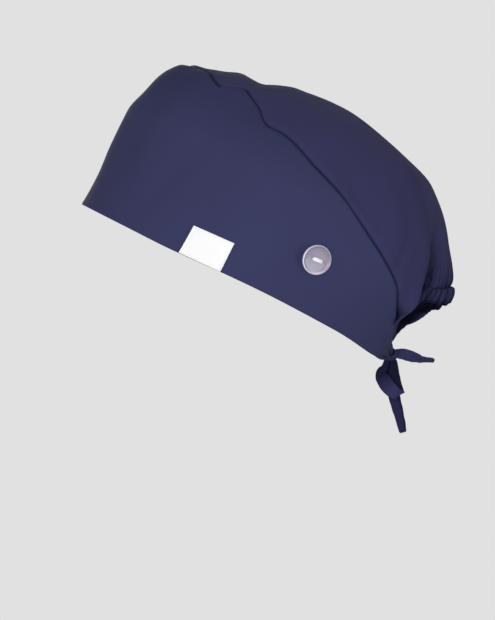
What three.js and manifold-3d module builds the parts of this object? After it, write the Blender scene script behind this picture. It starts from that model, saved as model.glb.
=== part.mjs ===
// A nurse's scrub cap in worn form: a tall band round the head, a puffed crown sewn into it, a ruched elastic
// hem over the nape, two ties knotted below it, and a button on each side for a mask's ear loops.
// Millimetres, +Z up. The wearer faces -Y and their left is +X. The origin is the middle of the head opening.
import * as THREE from 'three';
import { mergeVertices } from 'three/addons/utils/BufferGeometryUtils.js';
import Module from 'manifold-3d';

const wasm = await Module();
wasm.setup();

const rad = THREE.MathUtils.degToRad;

// ---------- driving dimensions ----------

const cap = {
  tilt: 26.8, // degrees that the head opening slopes down towards the back
  height: 122.5, // apex above the plane of the head opening
  wall: 1.2, // cloth
  gap: 0.3, // between neighbouring pieces
  seamGap: 0.45, // between two cloth panels
  squareness: 2.15, // exponent of the oval rings, 2 is an ellipse
  backFuller: 0.05, // share by which the back half of a ring is wider than the front half
};

// Level rings of the whole form: how far each reaches to the front, to the back and to each side.
const rings = [
  { level: 0, front: -101.8, back: 101.7, half: 77.5 },
  { level: 20, front: -102, back: 109, half: 78 },
  { level: 41, front: -103, back: 118.5, half: 77.5 },
  { level: 62, front: -103, back: 114.5, half: 75.5 },
  { level: 77.5, front: -99, back: 105, half: 71 },
  { level: 90, front: -95.2, back: 95.5, half: 64.5 },
  { level: 100, front: -88, back: 85, half: 56.5 },
  { level: 106, front: -73, back: 77, half: 49.5 },
  { level: 111, front: -57, back: 64, half: 41.5 },
  { level: 116, front: -33, back: 47, half: 30 },
  { level: 120, front: -14, back: 29, half: 16 },
  { level: 122.5, front: 5, back: 5, half: 0 },
];

// Level of the seam between band and crown, by the turn round the head from the front, in degrees.
const seam = [
  { turn: 0, level: 102.3 },
  { turn: 30, level: 103.5 },
  { turn: 57, level: 103 },
  { turn: 73, level: 95.5 },
  { turn: 88, level: 88.6 },
  { turn: 100, level: 78.2 },
  { turn: 118, level: 59.3 },
  { turn: 131, level: 45 },
  { turn: 143.5, level: 28.8 },
  { turn: 155, level: 17 },
  { turn: 162, level: 9.6 },
];

// Level of the band's lower edge: it lifts a little over the ear, drops towards the nape and rises to the knot.
const rim = [
  { turn: 0, level: 0 },
  { turn: 60, level: 0 },
  { turn: 100, level: 2.2 },
  { turn: 130, level: 1.2 },
  { turn: 160, level: -1.9 },
  { turn: 167, level: -1.8 },
  { turn: 175, level: 0.1 },
];

// Soft folds and dents of the form: a row's middle, how it leans per millimetre of level, its half width in
// degrees, its half length up the cloth, and how far it stands out of the form or, negative, goes into it.
const folds = [
  { turn: 25, level: 76, lean: -0.12, width: 5, reach: 36, height: -1.6 },
  { turn: 38, level: 62, lean: 0.05, width: 7, reach: 38, height: 1.2 },
  { turn: 54, level: 46, lean: 0.18, width: 6, reach: 40, height: -1.3 },
  { turn: 77, level: 105, lean: 0, width: 12, reach: 8, height: -2.2 },
  { turn: 94, level: 101, lean: 0.2, width: 8, reach: 11, height: 1.2 },
  { turn: 112, level: 83, lean: -0.1, width: 8, reach: 14, height: -2 },
  { turn: 127, level: 76, lean: -0.1, width: 6, reach: 24, height: 1 },
  { turn: 138, level: 66, lean: -0.16, width: 5, reach: 30, height: -1.6 },
  { turn: 145.5, level: 55, lean: 0.1, width: 5, reach: 24, height: 1.4 },
  { turn: 153.5, level: 62, lean: 0.28, width: 5, reach: 22, height: -2.4 },
];

// Pleats that the elastic gathers along the hem. They die out up the crown.
const gathers = { perSide: 5.5, height: 1.3, growFrom: 0.06, growTo: 0.3, fade: 0.13 };

const band = { endTurn: 173.5, endTop: 7, endColumns: 2, rows: 6 };

const hem = {
  startTurn: 162, // where the seam runs out and the elastic hem begins
  startAngle: -30, // degrees below the widest point of the arch
  top: { along: 121, up: 47 },
  pull: { along: -0.6, up: 0.8 }, // the way in which the worn hem is pulled up at the sides
  flareFade: 0.5, // rise by which the cloth is back on the form
  casingHeight: 9,
  casingGrow: 0.18, // share of the arch over which it grows to its full height out of the seam
  casingWall: 2,
  casingTopGap: 0.6,
  casingRows: 2,
};

// How far the hem is pulled up, by the share of the arch from the band's end to the middle of the back. The
// worn hem sits higher on the wearer's left.
const leftPull = [
  { share: 0, distance: 0 },
  { share: 0.1, distance: 4.5 },
  { share: 0.2, distance: 8.6 },
  { share: 0.3, distance: 10.4 },
  { share: 0.4, distance: 9.8 },
  { share: 0.5, distance: 7.3 },
  { share: 0.6, distance: 4.4 },
  { share: 0.7, distance: 2.2 },
  { share: 0.85, distance: 0.6 },
  { share: 1, distance: 0 },
];
const rightPull = [
  { share: 0, distance: 0 },
  { share: 0.15, distance: 1.8 },
  { share: 0.3, distance: 2.9 },
  { share: 0.45, distance: 2.2 },
  { share: 0.6, distance: 0.7 },
  { share: 1, distance: 0 },
];

// The crown's cloth lines leave the seam and the hem at one turn and lean to another within a short rise.
const crown = {
  seamColumns: 30,
  hemColumns: 22,
  rows: 9,
  leanFrom: 100, // turn where the lines begin to lean forward
  cornerTurn: 147, // upper turn of the line from the corner of seam and hem
  leanRise: 0.11,
  leanGather: 4, // how closely the lean keeps to the corner
  hemSpread: 1.3,
};

const label = { turn: 77.3, spread: 14.4, bottom: 1.3, top: 19.7, wall: 0.8, columns: 6, rows: 3 };

const button = {
  turn: 104.5,
  level: 33.3,
  radius: 9.25,
  underside: 1, // above the cloth
  floor: 2.2,
  rimTop: 3.8,
  rimWidth: 1.1,
  rimSlope: 0.9,
  backRadius: 7.4,
  edgeRound: 0.4,
  holeRadius: 1.1,
  holesApart: 5.1,
  stitchTurn: 6, // degrees between the stitch and the rim of the cap
  sides: 32,
  holeSides: 12,
};

const thread = { radius: 0.62, barHeight: 3, shankHeight: 0.4, bend: 0.7, sides: 8, steps: 14 };

const knot = { along: 102.3, up: 3.2, halfWidth: 10.3, halfDeep: 4.2, halfTall: 4.3, sides: 18 };

const tie = { wall: 1.2, step: 3, columns: 2 }; // step is the length of cloth to a row of the mesh

// The ties' routes in the upright frame: turn is how far the cloth is turned from lying square across.
const tieRoutes = {
  tie_tail_back: [
    { side: 0, along: 97.9, up: -42.6, turn: 34, width: 8 },
    { side: -1, along: 102.6, up: -43.4, turn: 38, width: 10 },
    { side: -3, along: 108, up: -45.3, turn: 27, width: 10 },
    { side: -6, along: 113.2, up: -46.9, turn: 12, width: 10 },
    { side: -9.5, along: 119.8, up: -47.3, turn: 12, width: 10 },
  ],
  tie_loop: [
    { side: 1, along: 91.9, up: -48.9, turn: 10, width: 8 },
    { side: 2, along: 88, up: -52.6, turn: 14, width: 10 },
    { side: 2.5, along: 87.2, up: -57.6, turn: 16, width: 10 },
    { side: 2.5, along: 90.2, up: -63.8, turn: 18, width: 10 },
    { side: 1.5, along: 94.6, up: -67.6, turn: 12, width: 10 },
    { side: 0, along: 98.6, up: -69, turn: 4, width: 10 },
    { side: -0.8, along: 100.9, up: -66, turn: -4, width: 10 },
    { side: -0.5, along: 100, up: -59.5, turn: -6, width: 10 },
    { side: 0, along: 97.9, up: -53, turn: -6, width: 10 },
    { side: 0.5, along: 95.4, up: -48.9, turn: -4, width: 8 },
  ],
  tie_tail_down: [
    { side: -5, along: 93, up: -47.4, turn: 90, width: 7 },
    { side: -7, along: 93.4, up: -54, turn: 90, width: 10 },
    { side: -8.2, along: 94.2, up: -62, turn: 86, width: 10 },
    { side: -7.9, along: 95.6, up: -69, turn: 72, width: 10 },
    { side: -6, along: 97.3, up: -76, turn: 48, width: 10 },
    { side: -4, along: 99.4, up: -83, turn: 32, width: 10 },
    { side: -3, along: 101.1, up: -90.4, turn: 24, width: 10 },
  ],
};

// How far apart the points are that a normal is read from: as a share of a sheet, and in degrees and
// millimetres.
const probe = { share: 0.004, form: 0.5 };

const navyBand = new THREE.MeshStandardMaterial({ color: 0x3a3b60, roughness: 0.85, metalness: 0 });
const navyCrown = new THREE.MeshStandardMaterial({ color: 0x323254, roughness: 0.85, metalness: 0 });
const navyTie = new THREE.MeshStandardMaterial({ color: 0x2c2d4c, roughness: 0.88, metalness: 0 });
const clearGrey = new THREE.MeshStandardMaterial({ color: 0x8f8a9d, roughness: 0.3, metalness: 0 });
const whiteThread = new THREE.MeshStandardMaterial({ color: 0xf0eef2, roughness: 0.9, metalness: 0 });
const whiteWeave = new THREE.MeshStandardMaterial({ color: 0xf2f1f2, roughness: 0.8, metalness: 0 });

// ---------- curves and forms ----------

// A smooth function through a table's rows that never overshoots them.
function throughRows(rows, key, value, measure = (k) => k) {
  const points = rows.map((row) => [measure(row[key]), row[value]]).sort((p, q) => p[0] - q[0]);
  const slopes = points.slice(1).map((p, i) => (p[1] - points[i][1]) / (p[0] - points[i][0]));
  const tangents = points.map((_, i) => {
    if (i === 0) return slopes[0];
    if (i === slopes.length) return slopes[i - 1];
    const [before, after] = [slopes[i - 1], slopes[i]];
    return before * after <= 0 ? 0 : (2 * before * after) / (before + after);
  });
  return (raw) => {
    const at = THREE.MathUtils.clamp(measure(raw), points[0][0], points.at(-1)[0]);
    const i = Math.min(points.findLastIndex((p) => p[0] <= at), slopes.length - 1);
    const span = points[i + 1][0] - points[i][0];
    const t = (at - points[i][0]) / span;
    const [t2, t3] = [t * t, t * t * t];
    return (
      points[i][1] * (2 * t3 - 3 * t2 + 1) +
      points[i + 1][1] * (3 * t2 - 2 * t3) +
      tangents[i] * span * (t3 - 2 * t2 + t) +
      tangents[i + 1] * span * (t3 - t2)
    );
  };
}

// Rings are read by their angle on a round dome, so that the apex closes smoothly.
const domeAngle = (level) => Math.acos(THREE.MathUtils.clamp(level / cap.height, 0, 1));
const frontAt = throughRows(rings, 'level', 'front', domeAngle);
const backAt = throughRows(rings, 'level', 'back', domeAngle);
const halfAt = throughRows(rings, 'level', 'half', domeAngle);
const seamAt = throughRows(seam, 'turn', 'level');
const rimAt = throughRows(rim, 'turn', 'level');
const leftPullAt = throughRows(leftPull, 'share', 'distance');
const rightPullAt = throughRows(rightPull, 'share', 'distance');

const bell = (distance, halfWidth) => Math.exp(-((distance / halfWidth) ** 2));

// How far the folds push the form out at a place.
function foldHeight(turn, level) {
  return folds.reduce((sum, fold) => {
    const middle = fold.turn + fold.lean * (level - fold.level);
    return sum + fold.height * bell(turn - middle, fold.width) * bell(level - fold.level, fold.reach);
  }, 0);
}

// A point moved straight away from the upright axis of the form.
function pushedOut(point, distance) {
  return point.addScaledVector(new THREE.Vector3(point.x, point.y, 0).normalize(), distance);
}

// A point of the form, in the frame of the head opening: x to the side, y along to the back, z up.
function formPoint(turn, level) {
  const [front, back] = [frontAt(level), backAt(level)];
  const middle = (front + back) / 2;
  const power = 2 / cap.squareness;
  const [c, s] = [Math.cos(rad(turn)), Math.sin(rad(turn))];
  const along = middle - ((back - front) / 2) * Math.sign(c) * Math.abs(c) ** power;
  const side = halfAt(level) * Math.sign(s) * Math.abs(s) ** power * (1 - cap.backFuller * c);
  return pushedOut(new THREE.Vector3(side, along, level), foldHeight(Math.abs(turn), level));
}

// The turn at which a ring is as wide as the given side distance, behind its widest place.
function turnForSide(side, level) {
  const sine = Math.min(1, side / (halfAt(level) * (1 + cap.backFuller))) ** (cap.squareness / 2);
  return 180 - THREE.MathUtils.radToDeg(Math.asin(sine));
}

// One half of the hem's arch, from 0 at the band's end to 1 at the middle of the back.
function hemPoint(share, isLeft) {
  const start = formPoint(hem.startTurn, seamAt(hem.startTurn));
  const [first, angle] = [rad(hem.startAngle), rad(THREE.MathUtils.lerp(hem.startAngle, 90, share))];
  const climb = (Math.sin(angle) - Math.sin(first)) / (1 - Math.sin(first));
  const pull = isLeft ? leftPullAt(share) : rightPullAt(share);
  return new THREE.Vector3(
    (start.x * Math.cos(angle)) / Math.cos(first),
    THREE.MathUtils.lerp(start.y, hem.top.along, climb) + pull * hem.pull.along,
    THREE.MathUtils.lerp(start.z, hem.top.up, climb) + pull * hem.pull.up,
  );
}

// A point of the crown without its pleats. Station runs from 0 at the front over 1 at the corner of seam and
// hem to 2 at the middle of the back, negative on the right side. Rise runs from 0 at the lower edge to 1 at
// the apex.
function smoothCrown(station, rise) {
  const size = Math.abs(station);
  const share = Math.max(0, size - 1);
  const edgeTurn = hem.startTurn * Math.min(size, 1);
  const edge = size > 1 ? hemPoint(share, station > 0) : formPoint(edgeTurn, seamAt(edgeTurn));
  const lowTurn = size > 1 ? turnForSide(edge.x, edge.z) : edgeTurn;
  const lean = Math.max(0, (edgeTurn - crown.leanFrom) / (hem.startTurn - crown.leanFrom)) ** crown.leanGather;
  const highTurn =
    size > 1
      ? THREE.MathUtils.lerp(crown.cornerTurn, 180, share ** crown.hemSpread)
      : edgeTurn - lean * (hem.startTurn - crown.cornerTurn);
  const turn = THREE.MathUtils.lerp(highTurn, lowTurn, Math.exp(-rise / crown.leanRise));
  const point = formPoint(turn, THREE.MathUtils.lerp(edge.z, cap.height, Math.sin((rise * Math.PI) / 2)));
  const flare = Math.max(0, 1 - rise / hem.flareFade) ** 2;
  point.y += (edge.y - formPoint(lowTurn, edge.z).y) * flare;
  if (station < 0) point.x = -point.x;
  return point;
}

// Height of the pleats along the arch of the hem, none at the corner where the hem leaves the band.
function gatherHeight(share) {
  const grown = THREE.MathUtils.smoothstep(share, gathers.growFrom, gathers.growTo);
  return gathers.height * grown * Math.cos(2 * Math.PI * gathers.perSide * (1 - share));
}

function crownPoint(station, rise) {
  const pleat = gatherHeight(Math.abs(station) - 1) * Math.exp(-rise / gathers.fade);
  return pushedOut(smoothCrown(station, rise), pleat);
}

// The rise at which a line of the crown is the given distance of cloth away from the crown's lower edge.
function riseAt(station, distance) {
  const step = probe.share;
  const [before, after] = [Math.max(station - step, -2), Math.min(station + step, 2)];
  const edge = smoothCrown(after, 0).sub(smoothCrown(before, 0)).normalize();
  const away = smoothCrown(station, step).sub(smoothCrown(station, 0)).cross(edge).length() / step;
  return distance / away;
}

// ---------- solids ----------

function geometryOf(positions, faces) {
  const geometry = new THREE.BufferGeometry();
  geometry.setAttribute('position', new THREE.Float32BufferAttribute(positions.flatMap((p) => p.toArray()), 3));
  geometry.setIndex(faces.flat());
  return geometry;
}

// Outward normal of a sheet, worked out from its neighbours.
function sheetNormal(pointAt, u, v) {
  const step = probe.share;
  const across = pointAt(Math.min(u + step, 1), v).sub(pointAt(Math.max(u - step, 0), v));
  const up = pointAt(u, Math.min(v + step, 1)).sub(pointAt(u, Math.max(v - step, 0)));
  return across.cross(up).normalize();
}

// A cloth wall over a sheet: pointAt(u, v) is its middle layer, u and v run from 0 to 1.
function clothWall(pointAt, columns, rows, wall) {
  const points = [];
  const faces = [];
  const index = (layer, i, j) => layer * (columns + 1) * (rows + 1) + i * (rows + 1) + j;
  const quad = (a, b, c, d) => faces.push([a, b, c], [a, c, d]);
  for (const layer of [0, 1]) {
    for (let i = 0; i <= columns; i++) {
      for (let j = 0; j <= rows; j++) {
        const [u, v] = [i / columns, j / rows];
        points.push(pointAt(u, v).addScaledVector(sheetNormal(pointAt, u, v), (layer - 0.5) * wall));
      }
    }
  }
  for (let i = 0; i < columns; i++) {
    for (let j = 0; j < rows; j++) {
      quad(index(1, i, j), index(1, i + 1, j), index(1, i + 1, j + 1), index(1, i, j + 1));
      quad(index(0, i, j), index(0, i, j + 1), index(0, i + 1, j + 1), index(0, i + 1, j));
    }
    quad(index(0, i, 0), index(0, i + 1, 0), index(1, i + 1, 0), index(1, i, 0));
    quad(index(0, i, rows), index(1, i, rows), index(1, i + 1, rows), index(0, i + 1, rows));
  }
  for (let j = 0; j < rows; j++) {
    quad(index(0, 0, j), index(1, 0, j), index(1, 0, j + 1), index(0, 0, j + 1));
    quad(index(0, columns, j), index(0, columns, j + 1), index(1, columns, j + 1), index(1, columns, j));
  }
  return geometryOf(points, faces);
}

// A closed mesh as a solid of the boolean library, and back.
function toSolid(geometry) {
  const bare = geometry.clone();
  bare.deleteAttribute('normal');
  bare.deleteAttribute('uv');
  const merged = mergeVertices(bare, 1e-4);
  return new wasm.Manifold(
    new wasm.Mesh({
      numProp: 3,
      vertProperties: new Float32Array(merged.attributes.position.array),
      triVerts: new Uint32Array(merged.index.array),
    }),
  );
}

function toGeometry(solid) {
  const mesh = solid.getMesh();
  const geometry = new THREE.BufferGeometry();
  geometry.setAttribute('position', new THREE.BufferAttribute(mesh.vertProperties, 3));
  geometry.setIndex(new THREE.BufferAttribute(mesh.triVerts, 1));
  return geometry;
}

function named(name, geometry, material) {
  const mesh = new THREE.Mesh(geometry, material);
  mesh.name = name;
  return mesh;
}

// ---------- cloth of the cap ----------

// Top edge of the band: the seam, then the free edge that narrows into the tie.
function bandTop(size) {
  if (size <= hem.startTurn) return seamAt(size);
  const share = (size - hem.startTurn) / (band.endTurn - hem.startTurn);
  return THREE.MathUtils.lerp(seamAt(hem.startTurn), band.endTop, share);
}

// The band's columns stand at the turns of the crown's lines, then run on into the tie's root.
function bandTurn(column) {
  const size = Math.abs(column);
  const beyond = Math.max(0, size - crown.seamColumns) / band.endColumns;
  const turn = (hem.startTurn * Math.min(size, crown.seamColumns)) / crown.seamColumns;
  return Math.sign(column) * (turn + beyond * (band.endTurn - hem.startTurn));
}

function bandPanel() {
  const columns = crown.seamColumns + band.endColumns;
  const pointAt = (u, v) => {
    const turn = bandTurn(THREE.MathUtils.lerp(-columns, columns, u));
    const size = Math.abs(turn);
    return formPoint(turn, THREE.MathUtils.lerp(rimAt(size), bandTop(size), v));
  };
  return named('band_panel', clothWall(pointAt, 2 * columns, band.rows, cap.wall), navyBand);
}

// Height of the elastic casing along the arch of the hem.
function casingHeight(share) {
  return hem.casingHeight * Math.min(1, share / hem.casingGrow);
}

// Rise at which the crown's cloth starts: just above the seam, or just above the casing.
function crownStart(station) {
  const size = Math.abs(station);
  const casing = size > 1 ? casingHeight(size - 1) + hem.casingTopGap : 0;
  return riseAt(station, cap.seamGap + casing);
}

function crownPanel() {
  const half = [];
  for (let i = 0; i < crown.seamColumns; i++) half.push(i / crown.seamColumns);
  for (let i = 0; i <= crown.hemColumns; i++) half.push(1 + i / crown.hemColumns);
  const right = half.slice(1, -1).map((station) => -station).reverse();
  const loop = [...right, ...half];
  const count = loop.length;
  const rows = crown.rows;
  const pointAt = (station, v) => {
    const wrapped = station > 2 ? station - 4 : station < -2 ? station + 4 : station;
    return crownPoint(wrapped, THREE.MathUtils.lerp(crownStart(wrapped), 1, v));
  };
  const step = probe.share;
  const points = [];
  const faces = [];
  for (const layer of [0, 1]) {
    for (const station of loop) {
      for (let j = 0; j < rows; j++) {
        const v = j / rows;
        const across = pointAt(station + step, v).sub(pointAt(station - step, v));
        const up = pointAt(station, v + step).sub(pointAt(station, v));
        const normal = across.cross(up).normalize();
        points.push(pointAt(station, v).addScaledVector(normal, (layer - 0.5) * cap.wall));
      }
    }
    points.push(formPoint(0, cap.height).setZ(cap.height + (layer - 0.5) * cap.wall));
  }
  const layerStart = (layer) => layer * (count * rows + 1);
  const index = (layer, i, j) => layerStart(layer) + (j === rows ? count * rows : (i % count) * rows + j);
  const quad = (a, b, c, d) => faces.push([a, b, c], [a, c, d]);
  for (let i = 0; i < count; i++) {
    for (let j = 0; j < rows - 1; j++) {
      quad(index(1, i, j), index(1, i + 1, j), index(1, i + 1, j + 1), index(1, i, j + 1));
      quad(index(0, i, j), index(0, i, j + 1), index(0, i + 1, j + 1), index(0, i + 1, j));
    }
    faces.push([index(1, i, rows - 1), index(1, i + 1, rows - 1), index(1, i, rows)]);
    faces.push([index(0, i, rows - 1), index(0, i, rows), index(0, i + 1, rows - 1)]);
    quad(index(0, i, 0), index(0, i + 1, 0), index(1, i + 1, 0), index(1, i, 0));
  }
  return named('crown_panel', geometryOf(points, faces), navyCrown);
}

// The casing's columns stand at the crown's, from the first one past the corner.
function hemCasing() {
  const reach = 1 - 1 / crown.hemColumns;
  const pointAt = (u, v) => {
    const across = THREE.MathUtils.lerp(reach, -reach, u);
    const station = Math.sign(across || 1) * (2 - Math.abs(across));
    return crownPoint(station, riseAt(station, cap.gap + v * casingHeight(Math.abs(station) - 1)));
  };
  const wall = clothWall(pointAt, 2 * (crown.hemColumns - 1), hem.casingRows, hem.casingWall);
  return named('hem_casing', wall, navyCrown);
}

// ---------- label, buttons and ties ----------

// A place on the outer face of the cloth: z points out of it, y up and x along the rim.
function seatOn(turn, level) {
  const size = Math.abs(turn);
  const step = probe.form;
  const around = formPoint(size + step, level).sub(formPoint(size - step, level));
  const upward = formPoint(size, level + step).sub(formPoint(size, level - step));
  const out = around.cross(upward).normalize();
  const place = formPoint(size, level).addScaledVector(out, cap.wall / 2);
  if (turn < 0) {
    place.x = -place.x;
    out.x = -out.x;
  }
  const side = new THREE.Vector3(0, 0, 1).cross(out).normalize();
  const seat = new THREE.Group();
  seat.position.copy(place);
  seat.quaternion.setFromRotationMatrix(new THREE.Matrix4().makeBasis(side, out.clone().cross(side), out));
  return seat;
}

function wovenLabel() {
  const pointAt = (u, v) => {
    const turn = label.turn + (u - 0.5) * label.spread;
    const level = THREE.MathUtils.lerp(label.bottom, label.top, v);
    const seat = seatOn(turn, level);
    const out = new THREE.Vector3(0, 0, cap.gap + label.wall / 2).applyQuaternion(seat.quaternion);
    return seat.position.clone().add(out);
  };
  return named('label', clothWall(pointAt, label.columns, label.rows, label.wall), whiteWeave);
}

// A round button with a dished face, a flat raised rim and two thread holes.
function buttonBody() {
  const { radius, underside, floor, rimTop, rimWidth, rimSlope, backRadius, edgeRound } = button;
  const profile = [
    [0, underside],
    [backRadius, underside],
    [radius - edgeRound, underside + edgeRound],
    [radius, underside + 2 * edgeRound],
    [radius, rimTop - edgeRound],
    [radius - edgeRound, rimTop],
    [radius - edgeRound - rimWidth, rimTop],
    [radius - edgeRound - rimWidth - rimSlope, floor],
    [0, floor],
  ].map(([r, z]) => new THREE.Vector2(r, z));
  let solid = toSolid(new THREE.LatheGeometry(profile, button.sides).rotateX(Math.PI / 2));
  for (const side of [-1, 1]) {
    const { holeRadius, holeSides } = button;
    const drill = new THREE.CylinderGeometry(holeRadius, holeRadius, 2 * rimTop, holeSides);
    drill.rotateX(Math.PI / 2).translate((side * button.holesApart) / 2, 0, rimTop);
    solid = solid.subtract(toSolid(drill));
  }
  return toGeometry(solid);
}

// The stitch: a bar over the button's face, down through both holes and joined below by the shank.
function buttonThread() {
  const { radius, barHeight, shankHeight, bend, sides, steps } = thread;
  const half = button.holesApart / 2;
  const foot = cap.gap + shankHeight / 2;
  const route = [
    [-half, foot],
    [-half, button.underside],
    [-half, button.floor],
    [-half + bend, barHeight],
    [half - bend, barHeight],
    [half, button.floor],
    [half, button.underside],
    [half, foot],
  ].map(([x, z]) => new THREE.Vector3(x, 0, z));
  const bar = new THREE.CatmullRomCurve3(route, false, 'centripetal');
  const round = new THREE.Shape();
  round.absarc(0, 0, radius, 0, 2 * Math.PI, false);
  const tube = new THREE.ExtrudeGeometry(round, { steps, curveSegments: sides, extrudePath: bar });
  const shank = new THREE.BoxGeometry(button.holesApart + 2 * radius, 2 * radius, shankHeight);
  shank.translate(0, 0, cap.gap + shankHeight / 2);
  return toGeometry(toSolid(tube).add(toSolid(shank)));
}

function buttonOn(sideName, turn) {
  const seat = seatOn(turn, button.level);
  seat.rotateZ(rad(button.stitchTurn));
  seat.add(named(`button_${sideName}`, buttonBody(), clearGrey));
  seat.add(named(`button_thread_${sideName}`, buttonThread(), whiteThread));
  return seat;
}

function tieKnot() {
  const ball = new THREE.SphereGeometry(1, knot.sides, knot.sides / 2);
  ball.rotateZ(Math.PI / 2).scale(knot.halfWidth, knot.halfDeep, knot.halfTall);
  const mesh = named('tie_knot', toGeometry(toSolid(ball)), navyTie);
  mesh.position.set(0, knot.along, knot.up);
  return mesh;
}

// A flat tie along its route, as wide and as turned as each section says.
function tieRibbon(name, sections) {
  const curve = new THREE.CatmullRomCurve3(
    sections.map((section) => new THREE.Vector3(section.side, section.along, section.up)),
    false,
    'centripetal',
  );
  const between = (t, key) => {
    const at = THREE.MathUtils.clamp(t, 0, 1) * (sections.length - 1);
    const i = Math.min(Math.floor(at), sections.length - 2);
    return THREE.MathUtils.lerp(sections[i][key], sections[i + 1][key], at - i);
  };
  const pointAt = (u, v) => {
    const ahead = curve.getTangent(u);
    const across = new THREE.Vector3(1, 0, 0).projectOnPlane(ahead).normalize();
    across.applyAxisAngle(ahead, rad(between(u, 'turn')));
    return curve.getPoint(u).addScaledVector(across, (v - 0.5) * between(u, 'width'));
  };
  const steps = Math.round(curve.getLength() / tie.step);
  return named(name, clothWall(pointAt, steps, tie.columns, tie.wall), navyTie);
}

// ---------- assembly ----------

const worn = new THREE.Group(); // everything that follows the slope of the head opening
worn.rotation.x = -rad(cap.tilt);
worn.add(bandPanel(), crownPanel(), hemCasing(), tieKnot(), wovenLabel());
worn.add(buttonOn('left', button.turn), buttonOn('right', -button.turn));

const nurseCap = new THREE.Group();
nurseCap.add(worn);
for (const [name, sections] of Object.entries(tieRoutes)) nurseCap.add(tieRibbon(name, sections));

export default nurseCap;
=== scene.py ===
from bisect import bisect_right
from math import acos, asin, atan2, copysign, cos, degrees, exp, pi, radians, sin

import bmesh
import bpy
from mathutils import Matrix, Vector, noise
from mathutils.kdtree import KDTree


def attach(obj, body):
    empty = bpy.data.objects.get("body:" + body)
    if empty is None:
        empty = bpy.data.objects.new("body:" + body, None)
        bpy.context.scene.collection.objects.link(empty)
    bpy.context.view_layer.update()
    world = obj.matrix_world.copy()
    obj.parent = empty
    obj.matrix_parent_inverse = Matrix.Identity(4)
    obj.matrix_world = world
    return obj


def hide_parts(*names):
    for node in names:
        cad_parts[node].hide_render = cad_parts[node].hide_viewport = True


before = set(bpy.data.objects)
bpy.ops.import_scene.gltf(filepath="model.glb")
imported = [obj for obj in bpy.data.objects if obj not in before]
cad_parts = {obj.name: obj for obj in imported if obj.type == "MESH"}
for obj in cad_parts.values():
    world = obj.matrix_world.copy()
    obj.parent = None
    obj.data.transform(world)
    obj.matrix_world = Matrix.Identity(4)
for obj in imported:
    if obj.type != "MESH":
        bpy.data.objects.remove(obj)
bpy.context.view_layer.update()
mm = 0.001
print("frame loaded")


# ---- the form of the worn cap, in millimetres and in the slope of the head opening ----

cap = {
    "tilt": 26.8,  # of the head opening, in degrees
    "height": 122.5,
    "apexAlong": 5,
    "squareness": 2.15,
    "backFuller": 0.05,
    "wall": 1.1,
    "foldFade": 5,  # the folds end this far below the apex
}

# level, how far the ring reaches to the front, to the back and to each side
rings = [
    (0, -101.8, 101.7, 77.5),
    (20, -102, 109, 78),
    (41, -103, 118.5, 77.5),
    (62, -103, 114.5, 75.5),
    (77.5, -99, 105, 71),
    (90, -95.2, 95.5, 64.5),
    (100, -88, 85, 56.5),
    (106, -73, 77, 49.5),
    (111, -57, 64, 41.5),
    (116, -33, 47, 30),
    (120, -14, 29, 16),
    (122.5, 5, 5, 0),
]

# turn round the head from the front, level of the seam between band and crown
seam = [
    (0, 102.3), (12, 102.8), (20, 103.7), (31, 103.5), (42, 101.5), (48, 99.8), (50.3, 99.4),
    (51.9, 104.3), (54, 104.6), (61, 102.8), (67, 100.2), (71, 97.4), (75, 92.4), (77, 91),
    (81, 91.2), (84, 90.7), (88, 88.4), (94, 82.7), (100, 78.2), (107, 72.4), (112, 66.2),
    (118, 59.3), (124, 52.8), (131, 45), (135, 40), (138.5, 34.6), (143.5, 28.8), (150.5, 22.2),
    (155, 17), (162, 9.6),
]

# turn round the head, level of the band's lower edge
rim = [(0, 0), (60, 0), (100, 2.2), (130, 1.2), (160, -1.9), (167, -1.8), (175.5, 0.2)]

# turn and level of a fold's middle, lean in degrees per millimetre, half width in degrees, half length and
# height
folds = [
    (25, 76, -0.12, 5, 36, -1.6),
    (38, 62, 0.05, 7, 38, 1.2),
    (54, 46, 0.18, 6, 40, -1.3),
    (77, 105, 0, 12, 8, -2.2),
    (94, 101, 0.2, 8, 11, 1.2),
    (112, 83, -0.1, 8, 14, -2),
    (127, 76, -0.1, 6, 24, 1),
    (138, 66, -0.16, 5, 30, -1.6),
    (145.5, 55, 0.1, 5, 24, 1.4),
    (153.5, 62, 0.28, 5, 22, -2.4),
]

# the arch of the crown's lower edge over the nape, from the corner of seam and hem to the middle of the back
hem = {
    "startTurn": 162,
    "startAngle": -30,
    "topAlong": 121,
    "topUp": 47,
    "pullAlong": -0.6,
    "pullUp": 0.8,
    # share of the arch from the corner, how far that side is pulled up
    "leftPull": [
        (0, 0), (0.05, 6), (0.1, 10), (0.2, 11.4), (0.34, 11.2), (0.4, 10), (0.5, 7.3), (0.6, 4.4),
        (0.7, 2.2), (0.85, 0.6), (1, 0),
    ],
    "rightPull": [(0, 0), (0.1, 1.6), (0.25, 3), (0.4, 2.8), (0.55, 1), (0.7, 0.1), (0.85, -0.3), (1, 0)],
    "flareFade": 0.5,  # the hem's offset from the form is gone at this rise
}

# how the lines of the crown lean towards the corner of seam and hem
lean = {
    "from": 100,
    "cornerTurn": 147,
    "rise": 0.11,  # how soon above its edge a line has straightened
    "gather": 4,
    "hemSpread": 1.3,
    "squarest": 0.75,
}

gathers = {
    "pleats": 18.5,  # fine pleats on each side
    "crispness": 0.6,
    "perSide": 5.5,  # broad waves on each side
    "height": 1.3,
    "growFrom": 0.06,
    "growTo": 0.3,
    "fade": 0.13,
}

fineStep = 0.004  # in stations or rise, to read a direction from


def mix(a, b, share):
    return a + (b - a) * share


def clamp(value, low=0.0, high=1.0):
    return min(max(value, low), high)


def smooth(value, low, high):
    t = clamp((value - low) / (high - low))
    return t * t * (3 - 2 * t)


def bell(distance, halfWidth):
    return exp(-((distance / halfWidth) ** 2))


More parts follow.
